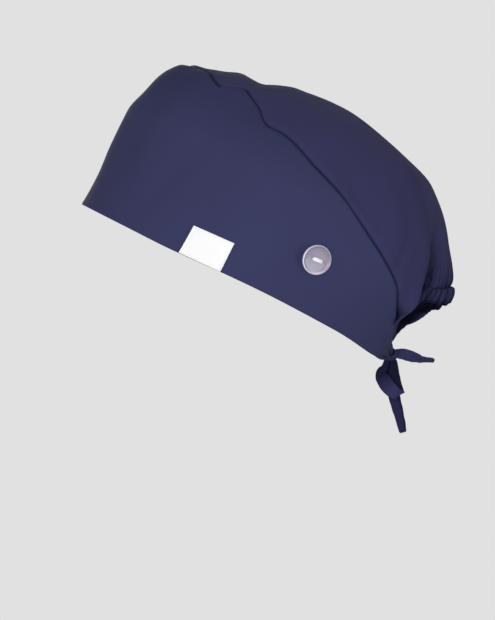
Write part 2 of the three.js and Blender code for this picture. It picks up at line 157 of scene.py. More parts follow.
# How high a swelling of the given height is, this far along, from its middle and its half width.
def swell(along, height, middle, halfWidth):
    return height * bell(along - middle, halfWidth)


def ripple(x, y, seed):
    return noise.noise(Vector((x, y, seed * 17.31)))


# A smooth curve through one column of a table, read by the table's first column, that never overshoots.
def throughRows(rows, column=1, measure=lambda key: key):
    points = sorted((measure(row[0]), row[column]) for row in rows)
    keys = [p[0] for p in points]
    slopes = [(q[1] - p[1]) / (q[0] - p[0]) for p, q in zip(points, points[1:])]
    tangents = [slopes[0]]
    for before, after in zip(slopes, slopes[1:]):
        tangents.append(0 if before * after <= 0 else 2 * before * after / (before + after))
    tangents.append(slopes[-1])

    def read(key):
        at = clamp(measure(key), keys[0], keys[-1])
        i = min(bisect_right(keys, at) - 1, len(slopes) - 1)
        span = keys[i + 1] - keys[i]
        t = (at - keys[i]) / span
        t2, t3 = t * t, t * t * t
        return (
            points[i][1] * (2 * t3 - 3 * t2 + 1)
            + points[i + 1][1] * (3 * t2 - 2 * t3)
            + tangents[i] * span * (t3 - 2 * t2 + t)
            + tangents[i + 1] * span * (t3 - t2)
        )

    return read


def domeAngle(level):
    return acos(clamp(level / cap["height"]))


frontAt, backAt, halfAt = (throughRows(rings, column, domeAngle) for column in (1, 2, 3))
seamAt = throughRows(seam)
rimAt = throughRows(rim)
leftPullAt = throughRows(hem["leftPull"])
rightPullAt = throughRows(hem["rightPull"])


# From the slope of the head opening, in millimetres, to the upright frame, in metres.
def worn(point):
    c, s = cos(radians(cap["tilt"])), sin(radians(cap["tilt"]))
    return Vector((point.x, point.y * c + point.z * s, point.z * c - point.y * s)) * mm


def foldHeight(turn, level):
    total = 0
    for middle, middleLevel, leanBy, halfWidth, halfLength, height in folds:
        rise = level - middleLevel
        total += height * bell(turn - middle - leanBy * rise, halfWidth) * bell(rise, halfLength)
    return total


def pushedOut(point, distance):
    return point + Vector((point.x, point.y, 0)).normalized() * distance


def signedPower(value, power):
    return copysign(abs(value) ** power, value)


def formPoint(turn, level):
    front, back = frontAt(level), backAt(level)
    c, s = cos(radians(turn)), sin(radians(turn))
    power = 2 / cap["squareness"]
    along = (front + back) / 2 - (back - front) / 2 * signedPower(c, power)
    side = halfAt(level) * signedPower(s, power) * (1 - cap["backFuller"] * c)
    flattened = smooth(cap["height"] - level, 0, cap["foldFade"])
    return pushedOut(Vector((side, along, level)), flattened * foldHeight(abs(turn), level))


def turnForSide(side, level):
    sine = min(1, side / (halfAt(level) * (1 + cap["backFuller"]))) ** (cap["squareness"] / 2)
    return 180 - degrees(asin(sine))


def hemPoint(share, isLeft):
    start = formPoint(hem["startTurn"], seamAt(hem["startTurn"]))
    first = radians(hem["startAngle"])
    angle = radians(mix(hem["startAngle"], 90, share))
    climb = (sin(angle) - sin(first)) / (1 - sin(first))
    pull = leftPullAt(share) if isLeft else rightPullAt(share)
    side = start.x * cos(angle) / cos(first)
    along = mix(start.y, hem["topAlong"], climb) + pull * hem["pullAlong"]
    return Vector((side, along, mix(start.z, hem["topUp"], climb) + pull * hem["pullUp"]))


# One line of the crown, from its lower edge at rise 0 to the apex at rise 1. Station runs from 0 at the front
# over 1 at the corner of seam and hem to 2 at the middle of the back, negative on the right side.
def crownLine(station):
    size = abs(station)
    share = max(0, size - 1)
    edgeTurn = hem["startTurn"] * min(size, 1)
    if size > 1:
        edge = hemPoint(share, station > 0)
        lowTurn = turnForSide(edge.x, edge.z)
        highTurn = mix(lean["cornerTurn"], 180, share ** lean["hemSpread"])
    else:
        edge = formPoint(edgeTurn, seamAt(edgeTurn))
        lowTurn = edgeTurn
        leaning = max(0, (edgeTurn - lean["from"]) / (hem["startTurn"] - lean["from"])) ** lean["gather"]
        highTurn = edgeTurn - leaning * (hem["startTurn"] - lean["cornerTurn"])
    offForm = edge.y - formPoint(lowTurn, edge.z).y

    def at(rise):
        turn = mix(highTurn, lowTurn, exp(-rise / lean["rise"]))
        point = formPoint(turn, mix(edge.z, cap["height"], sin(rise * pi / 2)))
        point.y += offForm * max(0, 1 - rise / hem["flareFade"]) ** 2
        if station < 0:
            point.x = -point.x
        return point

    return at


# The direction along the crown's lower edge, or along the cloth at another rise.
def edgeAt(station, rise=0):
    before, after = max(station - fineStep, -2), min(station + fineStep, 2)
    return (crownLine(after)(rise) - crownLine(before)(rise)).normalized()


# The rise at which a line of the crown is the given distance of cloth away from the crown's lower edge.
def riseAt(station, distance):
    line = crownLine(station)
    run = line(fineStep) - line(0)
    away = max(run.cross(edgeAt(station)).length, lean["squarest"] * run.length) / fineStep
    return distance / away


def gatherHeight(share):
    grown = smooth(share, gathers["growFrom"], gathers["growTo"])
    return gathers["height"] * grown * cos(2 * pi * gathers["perSide"] * (1 - share))


# Pushes a point of the cloth out by the broad waves of the gathers, which fade with the rise.
def gathered(point, share, rise):
    return pushedOut(point, gatherHeight(share) * exp(-rise / gathers["fade"]))


# The pleats the elastic draws the cloth into: round ridges with creased valleys between them, from -1 to 1.
def pleatAt(station, shift=0.0):
    count = gathers["pleats"] * (2 - abs(station)) + 0.5 * ripple(station * 9, 0, 19) + shift
    return 2 * abs(cos(pi * count)) ** gathers["crispness"] - 1


# The way from the crown's lower edge out of the cloth, square to that edge.
def backUnder(station, rise):
    edge, line = edgeAt(station, rise), crownLine(station)
    inward = line(rise + fineStep) - line(rise)
    return -(inward - edge * inward.dot(edge)).normalized()


print("form ready")


# ---- cloth grids ----


# Shares of a length that crowd together towards both ends.
def crowdedEnds(share, strength=0.75):
    return mix(share, (1 - cos(pi * share)) / 2, strength)


def lengthsOf(path, start=0):
    lengths = [start]
    for a, b in zip(path, path[1:]):
        lengths.append(lengths[-1] + (b - a).length)
    return lengths


def emptyCloth():
    sheet = bmesh.new()
    sheet.verts.layers.float_vector.new("place")
    sheet.loops.layers.uv.new("cloth")
    return sheet


def placeOf(sheet):
    return sheet.verts.layers.float_vector["place"]


# A grid of columns and rows with every point placed by a function, closed where its edges meet. The attribute
# "place" keeps each point's column, its row and how much painted shade it gets, from 0 to 1. The UV map
# "cloth" keeps its place in the flat cloth, in metres.
def clothGrid(columns, rows, placed, flatPlace, weld=0.01):
    sheet = emptyCloth()
    place, clothMap = placeOf(sheet), sheet.loops.layers.uv["cloth"]
    bmesh.ops.create_grid(sheet, x_segments=columns, y_segments=rows, size=0.5)
    for vert in sheet.verts:
        vert[place] = (round((vert.co.x + 0.5) * columns), round((vert.co.y + 0.5) * rows), 0)
    for face in sheet.faces:
        for loop in face.loops:
            i, j, _ = loop.vert[place]
            loop[clothMap].uv = flatPlace(round(i), round(j))
    for vert in sheet.verts:
        i, j, _ = vert[place]
        vert.co = placed(round(i), round(j))
    bmesh.ops.remove_doubles(sheet, verts=sheet.verts, dist=weld * mm)
    sheet.normal_update()
    return sheet


# Moves every point of a grid along its normal, by millimetres that depend on its column and row. The same
# function gives how much painted shade the point gets, kept in the attribute "place".
def reliefOn(sheet, reliefAt):
    place = placeOf(sheet)
    moves = [(vert, vert.normal.copy(), vert[place]) for vert in sheet.verts]
    for vert, normal, (i, j, _) in moves:
        height, paintedShade = reliefAt(round(i), round(j))
        vert.co += normal * height * mm
        vert[place] = (i, j, clamp(paintedShade))
    sheet.normal_update()


def meshFrom(sheet, name):
    data = bpy.data.meshes.new(name)
    sheet.to_mesh(data)
    sheet.free()
    return data


def joinTo(joined, sheet):
    loose = meshFrom(sheet, "loose")
    joined.from_mesh(loose)
    bpy.data.meshes.remove(loose)


def closeEnds(tube):
    bmesh.ops.holes_fill(tube, edges=[edge for edge in tube.edges if edge.is_boundary], sides=0)


def inScene(name, data):
    thing = bpy.data.objects.new(name, data)
    bpy.context.scene.collection.objects.link(thing)
    return thing


def smoothShaded(data):
    for polygon in data.polygons:
        polygon.use_smooth = True


def finishedPiece(sheet, name, material, replaced):
    bmesh.ops.recalc_face_normals(sheet, faces=sheet.faces)
    piece = inScene(name, meshFrom(sheet, name))
    smoothShaded(piece.data)
    piece.data.materials.append(material)
    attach(piece, "root")
    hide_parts(*replaced)
    return piece


def roundedEdges(piece, width, sharpest):
    edges = piece.modifiers.new("edges", "BEVEL")
    edges.width = width * mm
    edges.segments = 2
    edges.limit_method = "ANGLE"
    edges.angle_limit = radians(sharpest)
    return piece


# Gives a sheet its thickness, half to each side, with softly rounded edges.
def thickened(piece, thickness):
    wall = piece.modifiers.new("wall", "SOLIDIFY")
    wall.thickness = thickness * mm
    wall.offset = 0
    wall.use_even_offset = False
    return roundedEdges(piece, 0.3 * thickness, 60)


# ---- materials ----


def newMaterial(name):
    material = bpy.data.materials.new(name)
    material.use_nodes = True
    return material, material.node_tree, material.node_tree.nodes["Principled BSDF"]


# Sets a node's inputs: another node's output is linked, and anything else is the input's own value.
def feed(tree, node, inputs):
    for key, value in inputs.items():
        if isinstance(value, bpy.types.NodeSocket):
            tree.links.new(value, node.inputs[key])
        else:
            node.inputs[key].default_value = value


def addNode(tree, kind, inputs={}, **settings):
    node = tree.nodes.new("ShaderNode" + kind)
    for key, value in settings.items():
        setattr(node, key, value)
    feed(tree, node, inputs)
    return node


def addMath(tree, operation, *values):
    return addNode(tree, "Math", dict(enumerate(values)), operation=operation).outputs[0]


# A value times a factor, plus an offset.
def scaledBy(tree, value, factor, offset):
    return addMath(tree, "ADD", addMath(tree, "MULTIPLY", value, factor), offset)


def sineOf(tree, value, perUnit=2 * pi):
    return addMath(tree, "SINE", addMath(tree, "MULTIPLY", value, perUnit))


def mixColors(tree, amount, low, high):
    return addNode(tree, "Mix", {"Factor": amount, "A": low, "B": high}, data_type="RGBA").outputs["Result"]


def addNoise(tree, where, scale, detail=2):
    return addNode(tree, "TexNoise", {"Vector": where, "Scale": scale, "Detail": detail}).outputs["Fac"]


def splitVector(tree, vector):
    return addNode(tree, "SeparateXYZ", {0: vector}).outputs


def objectPlace(tree):
    return addNode(tree, "TexCoord").outputs["Object"]


def clothPlace(tree):
    return addNode(tree, "UVMap", uv_map="cloth").outputs["UV"]


# The third value of the attribute "place": how much painted shade the cloth gets there, or how much painted
# highlight a button's rim gets.
def paintedShadeOrHighlight(tree):
    return splitVector(tree, addNode(tree, "Attribute", attribute_name="place").outputs["Vector"])["Z"]


def addBump(tree, height, strength, distance):
    inputs = {"Height": height, "Strength": strength, "Distance": distance * mm}
    return addNode(tree, "Bump", inputs).outputs["Normal"]


# Twill: slanted ribs of yarn, each broken into short floats. Height is for bump, Tone for the colour.
def makeWeaveGroup():
    group = bpy.data.node_groups.new("Twill weave", "ShaderNodeTree")
    for name, direction, kind in (
        ("Cloth", "INPUT", "Vector"),
        ("Ribs per metre", "INPUT", "Float"),
        ("Height", "OUTPUT", "Float"),
        ("Tone", "OUTPUT", "Float"),
    ):
        group.interface.new_socket(name, in_out=direction, socket_type="NodeSocket" + kind)
    start = group.nodes.new("NodeGroupInput").outputs
    end = group.nodes.new("NodeGroupOutput")
    inputs = {0: start["Cloth"], "Scale": start["Ribs per metre"]}
    scaled = addNode(group, "VectorMath", inputs, operation="SCALE").outputs[0]
    x, y, _ = splitVector(group, scaled)
    rib = sineOf(group, scaledBy(group, y, 0.6, x))
    yarn = sineOf(group, scaledBy(group, x, -0.5, y), 4 * pi)
    slub = addMath(group, "SUBTRACT", addNoise(group, scaled, 0.35), 0.5)
    height = scaledBy(group, slub, 1.2, scaledBy(group, yarn, 0.45, rib))
    feed(group, end, {"Height": height, "Tone": scaledBy(group, height, 0.25, 0.5)})
    return group


weaveGroup = makeWeaveGroup()
navyTwill = {"ribsPerMetre": 1900, "relief": 0.05, "roughness": 0.85, "sheen": 0.03}
tieTwill = {**navyTwill, "relief": 0.06}
labelTaffeta = {"ribsPerMetre": 3600, "relief": 0.05, "roughness": 0.75, "sheen": 0.05}
paintedShadeTint = (0.1, 0.12, 0.24)  # painted shade: how much of the darker colour is left where the painted shade is darkest


def clothMaterial(name, color, darker, cloth):
    material, tree, shader = newMaterial(name)
    weave = addNode(tree, "Group", node_tree=weaveGroup)
    feed(tree, weave, {"Cloth": clothPlace(tree), "Ribs per metre": cloth["ribsPerMetre"]})
    cloud = addNoise(tree, objectPlace(tree), 22, 3)
    amount = addMath(tree, "SUBTRACT", scaledBy(tree, weave.outputs["Tone"], 0.35, cloud), 0.35)
    tint = mixColors(tree, amount, (*darker, 1), (*color, 1))
    paintedShadeColor = (*(left * part for left, part in zip(paintedShadeTint, darker)), 1)
    # Painted shade: the base colour is darkened by the painted shade kept in the attribute "place".
    feed(tree, shader, {
        "Base Color": mixColors(tree, paintedShadeOrHighlight(tree), tint, paintedShadeColor),
        "Roughness": scaledBy(tree, weave.outputs["Tone"], -0.12, cloth["roughness"] + 0.06),
        "Normal": addBump(tree, weave.outputs["Height"], 0.5, cloth["relief"]),
        "Specular IOR Level": 0.12,
        "Sheen Weight": cloth["sheen"],
        "Sheen Roughness": 0.45,
        "Sheen Tint": (0.62, 0.62, 0.85, 1),
    })
    return material


bandNavy = clothMaterial("Band twill", (0.0355, 0.039, 0.107), (0.0315, 0.0333, 0.089), navyTwill)
crownNavy = clothMaterial("Top twill", (0.0345, 0.0345, 0.1), (0.0295, 0.028, 0.083), navyTwill)
tieNavy = clothMaterial("Tie twill", (0.035, 0.036, 0.108), (0.027, 0.028, 0.086), tieTwill)
labelWhite = clothMaterial("Label weave", (0.885, 0.88, 0.89), (0.82, 0.815, 0.83), labelTaffeta)


def threadMaterial(name, color, darker, turnsPerMetre):
    material, tree, shader = newMaterial(name)
    x, y, _ = splitVector(tree, clothPlace(tree))
    ply = sineOf(tree, scaledBy(tree, x, turnsPerMetre, y))
    feed(tree, shader, {
        "Base Color": mixColors(tree, scaledBy(tree, ply, 0.4, 0.5), (*darker, 1), (*color, 1)),
        "Normal": addBump(tree, ply, 0.6, 0.06),
        "Roughness": 0.7,
        "Sheen Weight": 0.2,
    })
    return material


whiteThread = threadMaterial("White thread", (0.88, 0.87, 0.9), (0.7, 0.69, 0.74), 900)


def buttonMaterial(name, color, darker, paintedHighlight):
    material, tree, shader = newMaterial(name)
    where = objectPlace(tree)
    tint = mixColors(tree, addNoise(tree, where, 160, 3), (*darker, 1), (*color, 1))
    feed(tree, shader, {
        # Painted highlight: the clear rim is painted lighter by the amount kept in the attribute "place".
        "Base Color": mixColors(tree, paintedShadeOrHighlight(tree), tint, (*paintedHighlight, 1)),
        "Roughness": scaledBy(tree, addNoise(tree, where, 900), 0.12, 0.28),
        "IOR": 1.55,
        "Coat Weight": 0.35,
        "Coat Roughness": 0.08,
        "Subsurface Weight": 0.15,
        "Subsurface Scale": 0.002,
    })
    return material


# The last colour is the painted highlight of the clear rim.
buttonGrey = buttonMaterial(
    "Clear grey button", (0.275, 0.252, 0.335), (0.19, 0.172, 0.245), (0.72, 0.69, 0.86)
)
print("materials ready")


# ---- the band ----

band = {
    "columns": 480,
    "rows": 72,
    "endTurn": 175.5,  # it runs a little into the knot
    "narrowTurn": 173.5,
    "endTop": 4.8,
    "sewnTo": (160, 166),  # the turns between which the seam leaves it
    # height, how far from the edge, half width
    "edgeCurl": (-1.2, 0, 0.7),  # its top edge is turned under along the seam
    "puff": (0.35, 4, 3.5),
    "rimDent": (-0.3, 0, 0.9),
    # painted shade: the half width of a dark line painted along the seam
    "seamShadeWidth": 1.05,
    "seamShadeWider": (1.6, -50.3, 3.5),  # painted shade along the seam: by how much, how far back and over what width it shows wider
    "puckers": 0.22,
    "puckerFade": 9,
    "drift": 0.85,
    "fineDrift": 0.16,
    "endPleats": 0.7,
    "endPleatCount": 2.6,
    "endPleatTurns": (158, 172),
    "topShade": 0.2,  # painted shade: the cloth is painted a little darker over the top
    "topShadeLevels": (62, 96),
    "flare": 0.7,  # the front of the rim stands off a little
    "flareReach": 4.5,
    "flareTurns": (22, 62),
}


def bandTop(size):
    if size <= hem["startTurn"]:
        return seamAt(size)
    share = (size - hem["startTurn"]) / (band["narrowTurn"] - hem["startTurn"])
    return mix(seamAt(hem["startTurn"]), band["endTop"], share)


# Slow waves of the cloth round the head, stronger at the loose front and towards the knot.
def bandDrift(turn, level):
    size = abs(turn)
    loose = 0.3 + 0.7 * bell(size, 45) + 0.5 * smooth(size, 140, 170)
    slow = ripple(turn / 21 + level / 90, level / 60, 3) * band["drift"]
    fine = ripple(turn / 8, level / 16, 5) * band["fineDrift"]
    return loose * (slow + fine)


def makeBand():
    columns, rows = band["columns"], band["rows"]
    turns = [mix(-band["endTurn"], band["endTurn"], i / columns) for i in range(columns + 1)]
    points = []
    for turn in turns:
        low, high = rimAt(abs(turn)), bandTop(abs(turn))
        points.append([formPoint(turn, mix(low, high, crowdedEnds(j / rows))) for j in range(rows + 1)])
    toTop = [lengthsOf(line[::-1])[::-1] for line in points]
    around = lengthsOf([line[rows // 3] for line in points])

    def flatPlace(i, j):
        return (around[i] - around[-1] / 2) * mm, -toTop[i][j] * mm

    def relief(i, j):
        size, point = abs(turns[i]), points[i][j]
        top, bottom = toTop[i][j], toTop[i][0] - toTop[i][j]
        sewn = 1 - smooth(size, *band["sewnTo"])
        height = bandDrift(turns[i], point.z)
        height += sewn * swell(top, *band["edgeCurl"])
        height += sewn * swell(top, *band["puff"])
        height += sewn * band["puckers"] * ripple(around[i] / 5, top / 15, 7) * exp(-top / band["puckerFade"])
        height += band["flare"] * exp(-bottom / band["flareReach"]) * (1 - smooth(size, *band["flareTurns"]))
        height += swell(bottom, *band["rimDent"])
        wander = 0.12 * ripple(around[i] / 9, j / rows * 2, 9)
        pleat = sin(2 * pi * (band["endPleatCount"] * j / rows + wander))
        height += band["endPleats"] * smooth(size, *band["endPleatTurns"]) * pleat
        # Painted shade: a dark line along the seam, and painted shade over the top.
        wider = 1 + swell(point.y, *band["seamShadeWider"])
        paintedShade = sewn * bell(top, band["seamShadeWidth"] * wider)
        return height, paintedShade + band["topShade"] * smooth(point.z, *band["topShadeLevels"])

    sheet = clothGrid(columns, rows, lambda i, j: worn(points[i][j]), flatPlace)
    reliefOn(sheet, relief)
    piece = finishedPiece(sheet, "band_cloth", bandNavy, ["band_panel"])
    return thickened(piece, cap["wall"])


bandPiece = makeBand()
print("band ready")


# ---- the crown ----

crown = {
    "seamColumns": 130,
    "hemColumns": 205,
    "tuckRows": 5,
    "rows": 56,
    "crowding": 1.5,  # its rows crowd towards its lower edge
    "thickness": 0.9,
    "tuckUnder": 3.4,  # how far its edge runs on behind the band
    "tuckUnderHem": 2.4,
    "tuckDepth": 0.85,  # how deep below the form that edge ends, against the band
    "overCasing": 0.3,
    "covered": (0.8, 51.1, 0.8),  # how much, at what turn and over what width a pleat covers the seam
    # height, how far from the seam, half width
    "sunk": (-3, 0, 0.85),
    "dip": (-0.25, 0, 3),
    "puff": (0.6, 5, 4),
    # painted shade: the half width of a dark line painted along the seam
    "seamShadeWidth": 1.3,
    "puckers": 0.45,
    "puckerFade": 14,
    "pocketAt": 0.92,  # the station where the crown dips beside the band
    "pocketWidth": 0.035,
    "pocketDepth": 1.6,
    # painted shade in that dip
    "pocketShade": 0.8,
    "paintedShadeDepth": 8,  # painted shade: a crease this deep is painted quite dark
    "cornerShade": (0.2, 1.02, 0.16),  # painted shade beside the corner: how dark, at what station and how far round
    # painted shade over the hem, and how soon it fades
    "hemShade": 0.26,
    "hemShadeFade": 14,
    "drift": 0.9,
    "fineDrift": 0.25,
    "calmFrom": 0.75,  # the share of the rows above which it calms down towards the apex
    "hemDrift": 1.3,
    "hemDriftFade": 24,
    "backDent": 2.7,  # how far the cloth lies in over the middle of the hem
    "backFade": 45,
    "fineGathers": 3,
    # painted shade in the valleys of the gathers fades over this distance
    "gatherShadeFade": 8,
    "gathersFrom": (0.41, 0.48),  # on the wearer's left they begin behind the flap
    "gathersFromRight": (0.12, 0.3),
    # share of the hem from the corner, how far the cloth hangs down over the stitch line
    "flap": [(0, 0), (0.04, 5), (0.1, 11), (0.2, 14.5), (0.3, 15.5), (0.37, 15), (0.42, 5), (0.46, 0)],
    "flapOut": 0.32,
    "flapReach": 21,
    "flapRight": 0.45,
    # level, how far back the wearer's left side of the crown may bulge where the hem draws in beside it
    "bulge": [
        (8, 96.5), (22.3, 97.6), (29.4, 100.8), (33.5, 103), (38, 103.7), (41.8, 103.5), (45.8, 102.8),
        (49.8, 102.2), (57, 103), (70, 108), (90, 120),
    ],
    "bulgeSides": (31, 37),
    "bulgeSoft": 1.5,
    # along, lean, half width, height, how far it reaches to the sides
    "ridges": [
        (-81, 0, 7, 0.8, 26),
        (-53, 0.02, 6, 0.9, 30),
        (-40, 0.1, 7, -2.1, 46),
        (-20, 0.05, 8, 1.2, 30),
        (2, 0.1, 11, -0.6, 34),
    ],
    # degrees round the back, level of the middle, lean, half width in degrees, height, reach down and up
    "creases": [
        (148.5, 50, -0.08, 4, 1.2, 14, 30),
        (159, 53, 0.05, 4, -5.5, 14, 20),
        (166, 60, 0.04, 2.2, 1.6, 12, 18),
        (169, 54, 0, 2, -1.8, 12, 12),
        (175, 54, 0.02, 1.8, -1.4, 12, 12),
        (141.5, 52, 0.1, 1.6, -0.7, 22, 30),
        (144.5, 46, 0.06, 2, 0.5, 20, 26),
        (-151, 52, 0.05, 4, -2.8, 16, 24),
        (-160, 54, 0, 3, 1.4, 14, 18),
        (-168, 52, 0, 2.4, -2, 12, 14),
    ],
}

casing = {
    "height": 9,
    "grow": 0.08,  # the share of the hem over which it grows out of the corner
    "columns": 640,
    "rows": 28,
    "probes": 6,
    "end": 0.03,
    "intoCrown": 0.2,
    "wrapped": 0.97,  # how nearly its section closes round
    "halfThick": 1.1,
    "cloth": 0.5,
    "fullness": 1.45,
    "pleatHeight": 1.25,
    "inset": 0.3,
    "scallop": 0.35,
    # painted shade over the whole casing, and more on its turned-in lower edge
    "shade": 0.32,
    "underShade": 0.55,
    "tilt": 8,  # it is turned in, in degrees, and more so under the flap
    "tiltUnder": 30,
    "underRight": 0.6,  # the flap's share of that on the right side
    "flapEnd": (0.42, 0.56),
}


def casingGrown(station):
    return clamp((abs(station) - 1) / casing["grow"])


def casingHeight(station):
    return casing["height"] * casingGrown(station)


flapAt = throughRows(crown["flap"])
bulgeAt = throughRows(crown["bulge"])
upright = Vector((0, -sin(radians(cap["tilt"])), cos(radians(cap["tilt"]))))


# The flap: cloth that sags out and down over the stitch line before it turns back up. It sags most at a third
# of its reach from the stitches, where 6.75 * t * (1 - t) ** 2 is 1.
def sagOver(lines, stations, stitches):
    tuckRows, reach = crown["tuckRows"], crown["flapReach"]
    tree = KDTree(len(stitches))
    for k, (_, place) in enumerate(stitches):
        tree.insert(place, k)
    tree.balance()
    for line, lineStation in zip(lines, stations):
        for j, point in enumerate(line[tuckRows:], tuckRows):
            _, k, distance = tree.find(point)
            if distance > reach:
                break
            station = stitches[k][0]
            drop = flapAt(abs(station) - 1) * (1 if station > 0 else crown["flapRight"])
            if abs(lineStation) < 1:
                drop *= smooth((point - line[tuckRows]).length, 1, 16)
            t = distance / reach
            outward = Vector((copysign(1, point.x), 0.1, 0))
            line[j] = point + (outward * crown["flapOut"] - upright) * drop * 6.75 * t * (1 - t) ** 2


# Holds a point of the wearer's left side back to where the crown may bulge, with a soft start.
def heldIn(point):
    over, soft = point.y - bulgeAt(point.z), crown["bulgeSoft"]
    held = smooth(point.x, *crown["bulgeSides"])
    excess = max(0, over + soft) ** 2 / (4 * soft) if over < soft else over
    return point - Vector((0, held * excess, 0))


def makeCrown():
    half = [i / crown["seamColumns"] for i in range(crown["seamColumns"])]
    half += [1 + i / crown["hemColumns"] for i in range(crown["hemColumns"] + 1)]
    stations = [-station for station in reversed(half[1:])] + half
    columns, tuckRows = len(stations) - 1, crown["tuckRows"]
    rows = tuckRows + crown["rows"]
    lines, away = [], []
    for station in stations:
        share = abs(station) - 1
        start = riseAt(station, casingHeight(station) + crown["overCasing"]) if share > 0 else 0
        line = crownLine(station)
        tuck = mix(crown["tuckUnder"], crown["tuckUnderHem"], smooth(share, -0.01, 0.02))
        under = backUnder(station, start)
        rises = [mix(start, 1, (j / crown["rows"]) ** crown["crowding"]) for j in range(crown["rows"] + 1)]
        points = [line(start) + under * tuck * (1 - j / tuckRows) for j in range(tuckRows)]
        points += [line(rise) for rise in rises]
        if share > 0:
            points = [gathered(point, share, rises[max(j - tuckRows, 0)]) for j, point in enumerate(points)]
        lines.append(points)
        away.append(lengthsOf(points, -tuck))

    edge = [(station, line[tuckRows].copy()) for station, line in zip(stations, lines)]
    stitches = [(station, place) for station, place in edge if abs(station) > 1]
    sagOver(lines, stations, stitches)
    lines = [[heldIn(point) for point in line] for line in lines]

    def flatPlace(i, j):
        point = lines[i][j]
        turn = Vector((point.x, point.y - cap["apexAlong"])).normalized() if j < rows else Vector((0, 0))
        fromApex = away[i][-1] - away[i][j]
        return turn.x * fromApex * mm, turn.y * fromApex * mm

    def relief(i, j):
        station, distance, point = stations[i], away[i][j], lines[i][j]
        size = abs(station)
        share = size - 1
        onHem = smooth(share, -0.02, 0.06)
        near = max(distance, 0)
        fading = 1 - smooth(j / rows, crown["calmFrom"], 1)
        # the cloth as a whole
        height = crown["drift"] * fading * ripple(point.x / 34, point.y / 40 + point.z / 60, 11)
        height += crown["fineDrift"] * fading * ripple(point.x / 11, point.y / 13 + point.z / 15, 13)
        # the seam, which a pleat covers in one place, with painted shade along it, and the puff and puckers
        # beside it
        bare = 1 - swell(size * hem["startTurn"], *crown["covered"])
        height += bare * swell(near, *crown["sunk"]) * (1 - 0.75 * onHem)
        height += bare * swell(near, *crown["dip"]) * (1 - onHem)
        height += swell(distance, *crown["puff"])
        paintedShade = bare * bell(near, crown["seamShadeWidth"]) * (1 - 0.5 * onHem)
        pucker = ripple(station * 28, distance / 26, 15) + 0.5 * ripple(station * 56, distance / 12, 17)
        pucker *= crown["puckers"]
        height += pucker * exp(-near / crown["puckerFade"]) * (1 - bell(near, 1.2)) * (1 - onHem)
        # a dip beside the band, with painted shade in it
        if station > 0:
            pocket = bell(size - crown["pocketAt"], crown["pocketWidth"]) * bell(near - 1, 3)
            height -= crown["pocketDepth"] * pocket
            paintedShade += crown["pocketShade"] * pocket
        # ridges over the top, creases down the back, with painted shade in the deeper creases
        for along, leanBy, halfWidth, rise, reach in crown["ridges"]:
            across = (point.y - along - leanBy * abs(point.x)) / halfWidth
            height += rise * bell(across, 1) * bell(point.x, reach) * smooth(near, 0, 6)
        polar = degrees(atan2(abs(point.x), cap["apexAlong"] - point.y))
        for middle, level, leanBy, halfWidth, rise, down, up in crown["creases"]:
            if middle * station > 0:
                above = point.z - level
                across = (polar - abs(middle) - leanBy * above) / halfWidth
                depth = rise * bell(across, 1) * bell(above, up if above > 0 else down) * smooth(near, -1, 5)
                height += depth
                paintedShade += max(0, -depth) / crown["paintedShadeDepth"]
        # painted shade beside the corner
        paintedShade += swell(size, *crown["cornerShade"]) * smooth(near, 0, 6)
        # the gathers over the hem, with painted shade in their valleys and over the hem
        if share > 0:
            grown = smooth(share, *crown["gathersFrom" if station > 0 else "gathersFromRight"])
            pinched = 0.5 + 0.5 * smooth(near, 0, 5)
            pleat = (1 - pleatAt(station)) / 2
            reach = exp(-near / (9 + 7 * ripple(station * 40, 2, 27)))
            height -= crown["fineGathers"] * grown * pleat * reach * pinched
            paintedShade += grown * pleat * exp(-near / crown["gatherShadeFade"])
            wave = ripple(station * 16, distance / 45, 21)
            wave = crown["hemDrift"] * grown * wave * exp(-near / crown["hemDriftFade"])
            height += wave * smooth(near, 0, 4)
            height -= crown["backDent"] * fading * smooth(share, 0.5, 0.9) * exp(-near / crown["backFade"])
            paintedShade += crown["hemShade"] * grown * exp(-near / crown["hemShadeFade"])
        behind = smooth(-distance, 0, crown["tuckUnder"]) * (1 - onHem)
        return mix(height, -crown["tuckDepth"], behind), paintedShade

    sheet = clothGrid(columns, rows, lambda i, j: worn(lines[i][j]), flatPlace, weld=0.001)
    reliefOn(sheet, relief)
    piece = finishedPiece(sheet, "crown_cloth", crownNavy, ["crown_panel"])
    return thickened(piece, crown["thickness"])


crownPiece = makeCrown()
print("crown ready")


# ---- the ruched casing of the elastic ----


